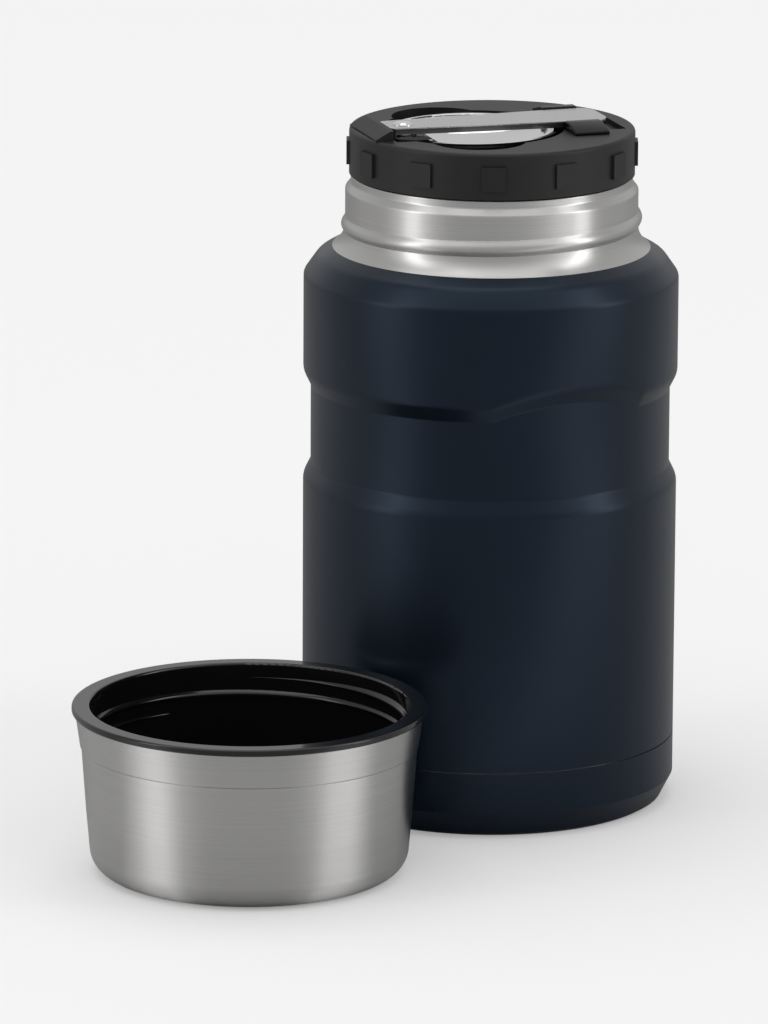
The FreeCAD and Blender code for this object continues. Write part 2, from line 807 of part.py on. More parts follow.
def make_stopper_plug():
    """Hollow plug with the flange that covers the lip and the groove for the seal ring."""
    body = new_body("stopper_plug")
    outer, low, wall = PLUG_RADIUS, PLUG_LOW, size("plug_wall")
    flange = COVER_RADIUS - size("cover_skirt_wall") - size("fit_clearance")
    flange_low, flange_top = COVER_LOW, COVER_LOW + size("flange_thickness")
    groove_low, groove_high = GROOVE_LOW, GROOVE_HIGH
    groove = outer - size("groove_depth")
    floor = low + size("plug_floor")
    add_revolution(
        body,
        "plug",
        [
            (0, low),
            (outer, low),
            (outer, groove_low),
            (groove, groove_low),
            (groove, groove_high),
            (outer, groove_high),
            (outer, flange_low),
            (flange, flange_low),
            (flange, flange_top),
            (outer - wall, flange_top),
            (outer - wall, groove_high + wall),
            (groove - wall, groove_high + wall),
            (groove - wall, floor),
            (0, floor),
        ],
    )
    return body


def make_stopper_foam():
    """Insulating foam that fills the plug up to the tray."""
    body = new_body("stopper_foam")
    gap, wall = size("moving_clearance"), size("plug_wall")
    wide = PLUG_RADIUS - wall - gap
    narrow = PLUG_RADIUS - size("groove_depth") - wall - gap
    low = PLUG_LOW + size("plug_floor") + gap
    step = GROOVE_HIGH + wall + gap
    top = TRAY_LOW - gap
    add_revolution(
        body, "filling", [(0, low), (narrow, low), (narrow, step), (wide, step), (wide, top), (0, top)]
    )
    return body


def make_seal_ring():
    """Silicone ring in the plug's groove, which seals on the seat in the mouth."""
    body = new_body("seal_ring")
    gap = size("moving_clearance")
    inner = PLUG_RADIUS - size("groove_depth") + gap
    outer = PLUG_RADIUS + size("seal_standout")
    low = GROOVE_LOW + gap
    high = GROOVE_HIGH - gap
    add_revolution(body, "ring", [(inner, low), (outer, low), (outer, high), (inner, high)])
    outer_edges = [(outer, low), (outer, high)]
    round_edges(body, "ring_edges", ring_edges(body, outer_edges), size("seal_round"))
    return body


# Spoon

def draw_handle_plan(sketch, inset, start):
    """Draw the handle's tapered plan, drawn in by inset."""
    near, far = size("handle_half_width_start") - inset, size("handle_half_width_end") - inset
    end = HANDLE_END - inset
    draw_outline(sketch, [(start, -near), (end, -far), (end, far), (start, near)])


def make_spoon_handle():
    """Tapered steel handle with down-turned flanges and the rivet's hole."""
    body = new_body("spoon_handle")
    start, end, top = HANDLE_START, HANDLE_END, HANDLE_TOP
    low = top - size("handle_height")
    near, far = size("handle_half_width_start"), size("handle_half_width_end")
    sketch = new_sketch(body, "XY_Plane", "plan", low)
    draw_handle_plan(sketch, as_size(0), start)
    add_pad(body, "plate", sketch, size("handle_height"))
    corners = upright_edges(body, [(start, -near), (start, near)])
    round_edges(body, "start_corners", corners, size("handle_start_round"))
    corners = upright_edges(body, [(end, -far), (end, far)])
    round_edges(body, "end_corners", corners, size("handle_end_round"))
    sketch = new_sketch(body, "XY_Plane", "channel_plan", top - size("handle_plate"))
    draw_handle_plan(sketch, size("handle_flange"), start - size("handle_flange"))
    add_pocket(body, "channel", sketch, size("handle_height") - size("handle_plate"))
    sketch = new_sketch(body, "XY_Plane", "rivet_hole_plan", top)
    draw_circle(sketch, RIVET_PLACE, 0, size("rivet_radius"))
    add_pocket(body, "rivet_hole", sketch, size("handle_plate"))
    turn_with_spoon(body)
    return body


def place_at_rivet(body):
    """Move a sub-part that is turned about Z to the rivet's axis."""
    place_around_jar(body, RIVET_PLACE, size("spoon_azimuth"))


def make_spoon_rivet():
    """Rivet that joins the handle and the bowl's neck and is the hinge's pin."""
    body = new_body("spoon_rivet")
    shank, head, tail = size("rivet_radius"), size("rivet_head_radius"), size("rivet_tail_radius")
    top = HANDLE_TOP
    tail_low, tail_top = RIVET_TAIL_LOW, RIVET_TAIL_TOP
    rise = size("rivet_head_rise")
    add_revolution(
        body,
        "rivet",
        [
            (0, tail_low),
            (tail, tail_low),
            (tail, tail_top),
            (shank, tail_top),
            (shank, top),
            (head, top),
            (head, top + rise / size("rivet_head_edge_share")),
            (head * size("rivet_head_flat_share"), top + rise),
            (0, top + rise),
        ],
    )
    place_at_rivet(body)
    return body


def make_rivet_washer():
    """Thin washer between the bowl's neck and the rivet's closed end."""
    body = new_body("rivet_washer")
    sketch = new_sketch(body, "XY_Plane", "washer_outline", WASHER_TOP - size("washer_thickness"))
    draw_circle(sketch, 0, 0, size("washer_radius"))
    draw_circle(sketch, 0, 0, size("rivet_radius") + size("running_clearance"))
    add_pad(body, "washer", sketch, size("washer_thickness"))
    place_at_rivet(body)
    return body


def make_half_ellipsoid(name, inset):
    """Lower half of the spoon bowl's ellipsoid, drawn in by inset."""
    ellipsoid = doc.addObject("Part::Ellipsoid", name)
    for key, radius in (
        ("Radius1", size("spoon_depth")),
        ("Radius2", SPOON_HALF_LENGTH),
        ("Radius3", SPOON_HALF_WIDTH),
    ):
        setattr(ellipsoid, key, (radius - inset).number)
        ellipsoid.setExpression(key, (radius - inset).text)
    ellipsoid.Angle1 = -90
    ellipsoid.Angle2 = 0
    ellipsoid.Placement.Base = FreeCAD.Vector(size("recess_centre").number, 0, SPOON_RIM.number)
    ellipsoid.setExpression("Placement.Base.x", size("recess_centre").text)
    ellipsoid.setExpression("Placement.Base.z", SPOON_RIM.text)
    return ellipsoid


def make_slope_block(name, inset):
    """Block whose slanting end shapes the bowl's wall below the neck, drawn in by inset."""
    body = new_body(name)
    half = SPOON_HALF_WIDTH
    sketch = new_sketch(body, "XZ_Plane", name + "_section", -half)
    start, top, depth = NECK_SLOPE_START + inset * SLOPE, SPOON_RIM, size("spoon_depth")
    end = size("recess_centre") + SPOON_HALF_LENGTH
    draw_outline(sketch, [(start, top), (start + depth, top - depth), (end, top - depth), (end, top)])
    add_pad(body, name + "_pad", sketch, half * 2)
    return body


def make_bowl_form(name, inset):
    """Ellipsoid of the spoon's bowl with the slope that rises to the neck, drawn in by inset."""
    form = doc.addObject("Part::Common", name)
    form.Base = make_half_ellipsoid(name + "_round", inset)
    form.Tool = make_slope_block(name + "_slope", inset)
    return form


def make_neck_plate():
    """Flat neck of the spoon's bowl with the raised boss round the rivet."""
    body = new_body("neck_plate")
    top, thickness = NECK_TOP, size("neck_thickness")
    start, half = HANDLE_START, size("neck_half_width")
    end = NECK_SLOPE_START + size("spoon_wall")
    sketch = new_sketch(body, "XY_Plane", "neck_plan", top - thickness)
    draw_rectangle(sketch, start, end, half)
    add_pad(body, "neck", sketch, thickness)
    corners = upright_edges(body, [(start, -half), (start, half)])
    round_edges(body, "neck_corners", corners, size("neck_round"))
    sketch = new_sketch(body, "XY_Plane", "boss_plan", top - thickness)
    draw_circle(sketch, RIVET_PLACE, 0, size("boss_radius"))
    add_pad(body, "boss", sketch, BOSS_TOP - top + thickness)
    sketch = new_sketch(body, "XY_Plane", "pin_hole_plan", BOSS_TOP)
    draw_circle(sketch, RIVET_PLACE, 0, size("rivet_radius") + size("running_clearance"))
    add_pocket(body, "pin_hole", sketch, BOSS_TOP - top + thickness)
    return body


def make_spoon_bowl():
    """Spoon's bowl and neck, pressed from one sheet."""
    outside = make_bowl_form("bowl_outside", as_size(0))
    inside = make_bowl_form("bowl_inside", size("spoon_wall"))
    neck = make_neck_plate()
    blank = doc.addObject("Part::Fuse", "bowl_with_neck")
    blank.Base = outside
    blank.Tool = neck
    bowl = doc.addObject("Part::Cut", "spoon_bowl")
    bowl.Base = blank
    bowl.Tool = inside
    bowl.Label = "spoon_bowl"
    turn_with_spoon(bowl)
    doc.recompute()
    return bowl


# Serving bowl

def make_bowl_shell():
    """Brushed steel outside of the serving bowl."""
    body = new_body("bowl_shell")
    wall = size("bowl_wall")
    base, mid, step = BOWL_BASE_RADIUS, BOWL_MID_RADIUS, BOWL_STEP_RADIUS
    top = size("bowl_height") - size("rim_thickness")
    out = size("bowl_step_out")
    outside = [
        (base, 0),
        (mid, size("bowl_base_band")),
        (step, BOWL_STEP),
        (step + out, BOWL_STEP + out),
        (BOWL_TOP_RADIUS, top),
    ]
    inside = [(radius - wall, height) for radius, height in reversed(outside[1:])]
    add_revolution(body, "wall", [(0, 0)] + outside + inside + [(base - wall, wall), (0, wall)])
    edges = ring_edges(body, [(base, 0)])
    round_edges(body, "base_edge", edges, size("bowl_base_round"))
    edges = ring_edges(body, [(base - wall, wall)])
    round_edges(body, "base_inner_edge", edges, size("bowl_base_round") - wall)
    stand_beside_jar(body)
    return body


def make_bowl_liner():
    """Black inner bowl whose rim covers the steel's edge."""
    body = new_body("bowl_liner")
    wall, rim, thickness = size("liner_wall"), RIM_RADIUS, size("rim_thickness")
    top = size("bowl_height")
    mouth, floor = LINER_MOUTH_RADIUS, size("liner_floor")
    floor_radius = LINER_FLOOR_RADIUS
    under = top - thickness
    add_revolution(
        body,
        "liner",
        [
            (0, floor - wall),
            (floor_radius + wall, floor - wall),
            (mouth + wall, under),
            (rim, under),
            (rim, top),
            (mouth, top),
            (floor_radius, floor),
            (0, floor),
        ],
    )
    edges = ring_edges(body, [(floor_radius, floor)])
    round_edges(body, "floor_edge", edges, size("liner_floor_round"))
    edges = ring_edges(body, [(floor_radius + wall, floor - wall)])
    round_edges(body, "floor_outer_edge", edges, size("liner_floor_round") + wall)
    edges = ring_edges(body, [(rim, top), (rim, under), (mouth, top)])
    round_edges(body, "rim_edges", edges, size("rim_round"))
    stand_beside_jar(body)
    return body


MAKERS = [
    make_outer_shell,
    make_base_cap,
    make_outer_bottom,
    make_vacuum_seal,
    make_inner_vessel,
    make_inner_bottom,
    make_getter,
    make_reflector_foil,
    make_stopper_cover,
    make_spoon_tray,
    make_spoon_clips_pair,
    make_stopper_plug,
    make_stopper_foam,
    make_seal_ring,
    make_spoon_handle,
    make_spoon_rivet,
    make_rivet_washer,
    make_spoon_bowl,
    make_bowl_shell,
    make_bowl_liner,
]

subparts = [maker() for maker in MAKERS]
doc.recompute()

failed = [item.Name for item in doc.Objects if "Invalid" in item.State or "Error" in item.State]
if failed:
    raise ValueError(f"failed objects: {failed}")
for subpart in subparts:
    if subpart.Shape.isNull() or not subpart.Shape.isValid():
        raise ValueError(f"{subpart.Label} has no valid shape")

os.makedirs("parts", exist_ok=True)
for subpart in subparts:
    subpart.Shape.exportStep(f"parts/{subpart.Label}.step")
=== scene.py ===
"""Looks of the insulated food jar, its stopper with the folding spoon, and its serving bowl."""

import logging
import math
from dataclasses import dataclass, field
from enum import Enum
from typing import Any, Dict, List, Optional, Sequence, Tuple, Union

import bmesh
import bpy
from mathutils import Matrix, Vector


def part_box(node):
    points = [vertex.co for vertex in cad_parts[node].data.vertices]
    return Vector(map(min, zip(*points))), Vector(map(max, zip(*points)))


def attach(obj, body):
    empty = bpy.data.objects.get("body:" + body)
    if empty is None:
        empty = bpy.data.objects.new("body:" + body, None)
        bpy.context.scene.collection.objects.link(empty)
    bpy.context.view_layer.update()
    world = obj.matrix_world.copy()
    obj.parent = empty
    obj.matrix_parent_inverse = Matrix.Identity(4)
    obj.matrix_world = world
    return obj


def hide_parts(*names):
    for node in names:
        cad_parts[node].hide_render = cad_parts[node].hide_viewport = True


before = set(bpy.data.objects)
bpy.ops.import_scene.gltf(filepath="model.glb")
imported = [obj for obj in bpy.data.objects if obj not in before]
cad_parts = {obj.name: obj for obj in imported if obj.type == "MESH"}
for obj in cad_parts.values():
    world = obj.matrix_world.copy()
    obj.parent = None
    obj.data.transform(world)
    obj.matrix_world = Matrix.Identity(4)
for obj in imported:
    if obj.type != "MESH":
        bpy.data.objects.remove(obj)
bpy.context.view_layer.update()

LOG = logging.getLogger("food_jar")
MM = 0.001
Colour = Tuple[float, float, float]
Number = Union[float, "Value"]


class Body(Enum):
    """Bodies of the frame that carry new pieces."""

    JAR = "jar"
    STOPPER = "stopper"
    LID_BOWL = "lid_bowl"


# Node trees written as expressions


class Value:
    """One output of a node, on which sums are written as Python."""

    def __init__(self, tree: "Tree", socket: bpy.types.NodeSocket) -> None:
        """Keep the tree and the socket."""
        self.tree = tree
        self.socket = socket

    def _sum(self, operation: str, first: Number, second: Number) -> "Value":
        """Add one Math node for an operation on two values."""
        return self.tree.node("ShaderNodeMath", {"operation": operation}, {0: first, 1: second})

    def __add__(self, other: Number) -> "Value":
        """Add."""
        return self._sum("ADD", self, other)

    def __radd__(self, other: Number) -> "Value":
        """Add, with the number first."""
        return self._sum("ADD", other, self)

    def __sub__(self, other: Number) -> "Value":
        """Subtract."""
        return self._sum("SUBTRACT", self, other)

    def __rsub__(self, other: Number) -> "Value":
        """Subtract from a number."""
        return self._sum("SUBTRACT", other, self)

    def __mul__(self, other: Number) -> "Value":
        """Multiply."""
        return self._sum("MULTIPLY", self, other)

    def __rmul__(self, other: Number) -> "Value":
        """Multiply, with the number first."""
        return self._sum("MULTIPLY", other, self)

    def __truediv__(self, other: Number) -> "Value":
        """Divide."""
        return self._sum("DIVIDE", self, other)

    def __pow__(self, other: Number) -> "Value":
        """Raise to a power."""
        return self._sum("POWER", self, other)

    def above(self, other: Number) -> "Value":
        """One where this is greater than the other, and nought elsewhere."""
        return self._sum("GREATER_THAN", self, other)

    def clamped_low(self, other: Number) -> "Value":
        """The greater of this and the other."""
        return self._sum("MAXIMUM", self, other)

    def clamped_high(self, other: Number) -> "Value":
        """The smaller of this and the other."""
        return self._sum("MINIMUM", self, other)

    def sine(self) -> "Value":
        """Sine."""
        return self.tree.node("ShaderNodeMath", {"operation": "SINE"}, {0: self})

    def cosine(self) -> "Value":
        """Cosine."""
        return self.tree.node("ShaderNodeMath", {"operation": "COSINE"}, {0: self})

    def root(self) -> "Value":
        """Square root."""
        return self.tree.node("ShaderNodeMath", {"operation": "SQRT"}, {0: self})

    def eased(self, low: float, high: float) -> "Value":
        """Ease this value into a smooth step.

        Args:
            low: Value up to which the step is nought.
            high: Value from which it is one.

        Returns:
            The step.
        """
        settings = {"interpolation_type": "SMOOTHSTEP"}
        return self.tree.node(
            "ShaderNodeMapRange", settings, {"Value": self, "From Min": low, "From Max": high}
        )


class Tree:
    """A node tree to which nodes are added by type, settings and inputs."""

    def __init__(self, tree: bpy.types.NodeTree) -> None:
        """Keep the tree."""
        self.tree = tree

    def node(
        self,
        kind: str,
        settings: Optional[Dict[str, Any]] = None,
        inputs: Optional[Dict[Union[str, int], Any]] = None,
        output: Union[str, int] = 0,
    ) -> Value:
        """Add a node.

        Args:
            kind: The node's type.
            settings: Properties that are set before the inputs.
            inputs: Values or links by socket name or number.
            output: Name or number of the output that is returned.

        Returns:
            The chosen output.
        """
        made = self.tree.nodes.new(kind)
        for name, setting in (settings or {}).items():
            if name == "stops":
                self._set_stops(made, setting)
            else:
                setattr(made, name, setting)
        for key, value in (inputs or {}).items():
            socket = made.inputs[key]
            if isinstance(value, Value):
                self.tree.links.new(value.socket, socket)
            elif value is not None:
                socket.default_value = value
        return Value(self, made.outputs[output] if len(made.outputs) else made.inputs[0])

    @staticmethod
    def _set_stops(ramp: bpy.types.Node, stops: Sequence[Tuple[float, Colour]]) -> None:
        """Set the colour stops of a ramp.

        Args:
            ramp: The ramp's node.
            stops: Place and colour of each stop.
        """
        elements = ramp.color_ramp.elements
        while len(elements) < len(stops):
            elements.new(1.0)
        for element, (place, colour) in zip(elements, stops):
            element.position = place
            element.color = (*colour, 1.0)

    def blend(self, factor: Number, first: Any, second: Any) -> Value:
        """Mix two colours or links, by the share of the second."""
        inputs = {0: factor, 6: self._colour(first), 7: self._colour(second)}
        return self.node("ShaderNodeMix", {"data_type": "RGBA"}, inputs, 2)

    @staticmethod
    def _colour(value: Any) -> Any:
        """Give a plain colour its fourth number."""
        return value if isinstance(value, Value) else (*value, 1.0)

    def vector(self, x: Number, y: Number, z: Number) -> Value:
        """Join three values into a vector."""
        return self.node("ShaderNodeCombineXYZ", None, {0: x, 1: y, 2: z})

    def parts(self, vector: Value) -> Tuple[Value, Value, Value]:
        """Split a vector into its three values."""
        made = self.node("ShaderNodeSeparateXYZ", None, {0: vector}).socket.node
        return tuple(Value(self, output) for output in made.outputs)

    def noise(self, vector: Value, scale: float, detail: float = 2.0, roughness: float = 0.5) -> Value:
        """Soft noise between nought and one, with so many waves to the unit of the vector."""
        inputs = {"Vector": vector, "Scale": scale, "Detail": detail, "Roughness": roughness}
        return self.node("ShaderNodeTexNoise", None, inputs, 0)


# Finishes


LINE_CONTRAST = (0.3, 0.7)


def shaded(colour: Colour, factor: float) -> Colour:
    """Make a colour lighter or darker by a factor."""
    return tuple(value * factor for value in colour)


@dataclass(frozen=True)
class Finish:
    """Base of the finishes: a Principled surface with fixed numbers and patterns."""

    name: str

    def make(self) -> bpy.types.Material:
        """Build the material.

        Returns:
            The material, or the one that was built before under this name.
        """
        known = bpy.data.materials.get("look_" + self.name)
        if known:
            return known
        material = bpy.data.materials.new("look_" + self.name)
        material.use_nodes = True
        material.node_tree.nodes.clear()
        tree = Tree(material.node_tree)
        place = tree.node("ShaderNodeTexCoord", None, None, "Object")
        surface = self.surface(tree, place)
        tree.node("ShaderNodeOutputMaterial", None, {"Surface": surface})
        return material

    def surface(self, tree: Tree, place: Value) -> Value:
        """Add the shader."""
        raise NotImplementedError

    @staticmethod
    def principled(tree: Tree, **inputs: Any) -> Value:
        """Add a Principled shader, with underscores in the inputs' names for spaces."""
        named = {key.replace("_", " "): value for key, value in inputs.items()}
        return tree.node("ShaderNodeBsdfPrincipled", None, named)

    @staticmethod
    def bump(tree: Tree, height: Value, depth: float) -> Value:
        """Turn a height pattern of some depth, in metres, into a normal."""
        return tree.node("ShaderNodeBump", None, {"Height": height, "Distance": depth, "Strength": 1.0})


@dataclass(frozen=True)
class BrushedSteel(Finish):
    """Steel with fine lines that run round an upright axis."""

    colour: Colour = (0.56, 0.555, 0.545)
    roughness: float = 0.3
    axis: Tuple[float, float] = (0.0, 0.0)
    lean: float = 1.0
    line_pitch: float = 0.22 * MM
    line_depth: float = 0.0022 * MM
    line_stretch: float = 9.0
    line_shade: float = 0.9
    line_gloss: float = 0.1
    cloud_scale: float = 45.0
    cloud_gloss: float = 0.05
    spread: float = 0.85
    spread_upright: float = 0.25

    def lines(self, tree: Tree, place: Value) -> Value:
        """Make the pattern of fine lines.

        Args:
            tree: Tree that the nodes go to.
            place: Object coordinates.

        Returns:
            The pattern, from nought to one.
        """
        x, y, z = tree.parts(place)
        across, along = x - self.axis[0], y - self.axis[1]
        radius = (across * across + along * along).root()
        course = z + radius * self.lean
        stretch = self.line_stretch
        fine = tree.vector(across * stretch, along * stretch, course / self.line_pitch)
        return tree.noise(fine, 1.0, 3.0, 0.65)

    def surface(self, tree: Tree, place: Value) -> Value:
        """Add the shader.

        Args:
            tree: Tree that the nodes go to.
            place: Object coordinates.

        Returns:
            The shader.
        """
        lines = self.lines(tree, place)
        cloud = tree.noise(place, self.cloud_scale)
        darker = shaded(self.colour, self.line_shade)
        return self.principled(
            tree,
            Base_Color=tree.blend(lines.eased(*LINE_CONTRAST), darker, self.colour),
            Metallic=1.0,
            Anisotropic=self.spread,
            Anisotropic_Rotation=self.spread_upright,
            Roughness=self.roughness + (lines - 0.5) * self.line_gloss + (cloud - 0.5) * self.cloud_gloss,
            Normal=self.bump(tree, lines, self.line_depth),
        )


@dataclass(frozen=True)
class PowderCoat(Finish):
    """Satin paint with a fine peel."""

    colour: Colour = (0.0028, 0.0048, 0.0092)
    roughness: float = 0.3
    gloss: float = 0.42
    gloss_tint: Colour = (0.45, 0.62, 0.86)
    peel_scale: float = 1900.0
    peel_depth: float = 0.0125 * MM
    peel_gloss: float = 0.09
    cloud_scale: float = 38.0
    cloud_shade: float = 0.12
    cloud_gloss: float = 0.05

    def surface(self, tree: Tree, place: Value) -> Value:
        """Add the shader.

        Args:
            tree: Tree that the nodes go to.
            place: Object coordinates.

        Returns:
            The shader.
        """
        peel = tree.noise(place, self.peel_scale, 2.0, 0.6)
        cloud = tree.noise(place, self.cloud_scale, 3.0)
        darker, lighter = (shaded(self.colour, 1.0 + sign * self.cloud_shade) for sign in (-1.0, 1.0))
        return self.principled(
            tree,
            Base_Color=tree.blend(cloud, darker, lighter),
            Specular_IOR_Level=self.gloss,
            Specular_Tint=(*self.gloss_tint, 1.0),
            Roughness=self.roughness + (peel - 0.5) * self.peel_gloss + (cloud - 0.5) * self.cloud_gloss,
            Normal=self.bump(tree, peel, self.peel_depth),
        )


@dataclass(frozen=True)
class PolishedSteel(Finish):
    """Mirror-bright steel with hair-fine wipe marks."""

    colour: Colour = (0.82, 0.82, 0.83)
    roughness: float = 0.05
    wipe_scale: Tuple[float, float, float] = (60.0, 500.0, 200.0)
    wipe_contrast: Tuple[float, float] = (0.45, 0.8)
    wipe_gloss: float = 0.04
    wipe_depth: float = 0.0001 * MM
    cloud_scale: float = 120.0
    cloud_shade: float = 0.95

    def surface(self, tree: Tree, place: Value) -> Value:
        """Add the shader.

        Args:
            tree: Tree that the nodes go to.
            place: Object coordinates.

        Returns:
            The shader.
        """
        wipe = tree.noise(tree.node("ShaderNodeMapping", None, {0: place, 3: self.wipe_scale}), 1.0)
        cloud = tree.noise(place, self.cloud_scale)
        return self.principled(
            tree,
            Base_Color=tree.blend(cloud, shaded(self.colour, self.cloud_shade), self.colour),
            Metallic=1.0,
            Roughness=self.roughness + wipe.eased(*self.wipe_contrast) * self.wipe_gloss,
            Normal=self.bump(tree, wipe, self.wipe_depth),
        )


@dataclass(frozen=True)
class SatinSteel(Finish):
    """Satin steel with straight lines along a direction on the plan, painted darker below its upper face
    as a painted reflection of the dark deck.
    """

    colour: Colour = (0.62, 0.62, 0.62)
    roughness: float = 0.27
    heading: float = 0.0
    line_pitch: float = 0.22 * MM
    line_depth: float = 0.0009 * MM
    line_stretch: float = 60.0
    line_shade: float = 0.92
    line_gloss: float = 0.14
    face_level: float = 0.0
    painted_reflection_shade: float = 0.16

    def surface(self, tree: Tree, place: Value) -> Value:
        """Add the shader.

        Args:
            tree: Tree that the nodes go to.
            place: Object coordinates.

        Returns:
            The shader.
        """
        turned = tree.node("ShaderNodeMapping", None, {0: place, 2: (0.0, 0.0, -self.heading)})
        along, across, level = tree.parts(turned)
        fine = tree.vector(along * self.line_stretch, across / self.line_pitch, level / self.line_pitch)
        lines = tree.noise(fine, 1.0, 3.0, 0.6)
        face = tree.blend(lines.eased(*LINE_CONTRAST), shaded(self.colour, self.line_shade), self.colour)
        # Below the upper face the colour is painted dark: a painted reflection of the dark deck.
        sides = shaded(self.colour, self.painted_reflection_shade)
        return self.principled(
            tree,
            Base_Color=tree.blend(level.above(self.face_level), sides, face),
            Metallic=1.0,
            Roughness=self.roughness + (lines - 0.5) * self.line_gloss,
            Normal=self.bump(tree, lines, self.line_depth),
        )


@dataclass(frozen=True)
class Plastic(Finish):
    """Moulded plastic, from a fine grain to a gloss."""

    colour: Colour = (0.012, 0.012, 0.013)
    roughness: float = 0.4
    grain_scale: float = 3200.0
    grain_depth: float = 0.008 * MM
    gloss: float = 0.5
    grain_gloss: float = 0.08
    cloud_scale: float = 60.0
    cloud_shade: float = 0.15
    cloud_gloss: float = 0.05

    def surface(self, tree: Tree, place: Value) -> Value:
        """Add the shader.

        Args:
            tree: Tree that the nodes go to.
            place: Object coordinates.

        Returns:
            The shader.
        """
        grain = tree.noise(place, self.grain_scale, 2.0, 0.6)
        cloud = tree.noise(place, self.cloud_scale)
        darker, lighter = (shaded(self.colour, 1.0 + sign * self.cloud_shade) for sign in (-1.0, 1.0))
        return self.principled(
            tree,
            Base_Color=tree.blend(cloud, darker, lighter),
            Roughness=self.roughness + (grain - 0.5) * self.grain_gloss + (cloud - 0.5) * self.cloud_gloss,
            Specular_IOR_Level=self.gloss,
            Normal=self.bump(tree, grain, self.grain_depth),
        )


@dataclass(frozen=True)
class CrumpledFoil(Finish):
    """Thin bright foil with soft creases, painted darker in their hollows as painted shade."""

    colour: Colour = (0.8, 0.8, 0.82)
    roughness: float = 0.16
    crease_scale: float = 420.0
    crease_depth: float = 0.12 * MM
    crease_painted_shade: float = 0.85
    crease_gloss: float = 0.12

    def surface(self, tree: Tree, place: Value) -> Value:
        """Add the shader.

        Args:
            tree: Tree that the nodes go to.
            place: Object coordinates.

        Returns:
            The shader.
        """
        crease = tree.noise(place, self.crease_scale, 4.0, 0.7)
        # The colour is painted darker where the creases sink: painted shade in the hollows.
        return self.principled(
            tree,
            Base_Color=tree.blend(crease, shaded(self.colour, self.crease_painted_shade), self.colour),
            Metallic=1.0,
            Roughness=self.roughness + crease * self.crease_gloss,
            Normal=self.bump(tree, crease, self.crease_depth),
        )


PAINT = PowderCoat("navy_paint")
STEEL = BrushedSteel("bare_steel")
NECK_STEEL = BrushedSteel("neck_steel", lean=-1.0)
POLISHED = PolishedSteel("polished_steel")
BLACK = Plastic("black_plastic", (0.0085, 0.0085, 0.009), 0.46, gloss=0.34)
GLOSSY = Plastic("glossy_black_plastic", (0.0045, 0.0045, 0.005), 0.1, 700.0, 0.0015 * MM)
CLIP_BLACK = Plastic("clip_black", (0.003, 0.003, 0.0034), 0.24, 700.0, 0.0015 * MM, 0.16)
SILICONE = Plastic("silicone", (0.36, 0.36, 0.37), 0.55, 2400.0, 0.006 * MM)
FOAM = Plastic("foam", (0.78, 0.76, 0.7), 0.85, 900.0, 0.2 * MM, 0.2)
FOIL = CrumpledFoil("foil")
SOLDER = BrushedSteel("solder", (0.36, 0.36, 0.38), 0.42, line_pitch=0.9 * MM, line_depth=0.02 * MM)


# Pieces


WELD_REACH = 0.01 * MM
FLAT_ANGLE = math.radians(3.0)
SHARP_ANGLE = math.radians(25.0)
ROUNDING_STEPS = 5


def dress(node: str, finish: Finish) -> None:
    """Give a CAD node its finish.

    Args:
        node: Name of the node.
        finish: Finish that covers all of it.
    """
    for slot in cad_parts[node].material_slots:
        slot.material = finish.make()
    LOG.info("dressed %s with %s", node, finish.name)


def as_plain_mesh(piece: bpy.types.Object, body: Body) -> bpy.types.Object:
    """Turn a piece's modifiers into a plain mesh and put it on its body.

    Args:
        piece: Object whose modifiers are applied.
        body: Body that it moves with.

    Returns:
        The same object.
    """
    bpy.context.view_layer.update()
    graph = bpy.context.evaluated_depsgraph_get()
    mesh = bpy.data.meshes.new_from_object(piece.evaluated_get(graph), depsgraph=graph)
    piece.modifiers.clear()
    piece.data = mesh
    for polygon in mesh.polygons:
        polygon.use_smooth = True
    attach(piece, body.value)
    LOG.info("built %s on %s", piece.name, body.value)
    return piece


def rounded_copy(
    node: str, name: str, body: Body, finish: Finish, radius: float
) -> bpy.types.Object:
    """Copy a CAD node with its sharp edges rounded, in place of the node itself.

    Args:
        node: Name of the node.
        name: Name of the new piece.
        body: Body that it moves with.
        finish: Finish that covers all of it.
        radius: Radius of the rounded edges.

    Returns:
        The finished piece.
    """
    piece = bpy.data.objects.new(name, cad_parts[node].data.copy())
    piece.data.materials.clear()
    piece.data.materials.append(finish.make())
    bpy.context.scene.collection.objects.link(piece)
    weld = piece.modifiers.new("weld", "WELD")
    weld.merge_threshold = WELD_REACH
    planar = piece.modifiers.new("planar", "DECIMATE")
    planar.decimate_type = "DISSOLVE"
    planar.angle_limit = FLAT_ANGLE
    bevel = piece.modifiers.new("rounding", "BEVEL")
    bevel.width = radius
    bevel.segments = ROUNDING_STEPS
    bevel.limit_method = "ANGLE"
    bevel.angle_limit = SHARP_ANGLE
    as_plain_mesh(piece, body)
    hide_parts(node)
    return piece


# Threads


TIP_SCALE = 0.02


class Side(Enum):
    """Side of a round wall on which a thread stands."""

    OUTSIDE = 1.0
    INSIDE = -1.0


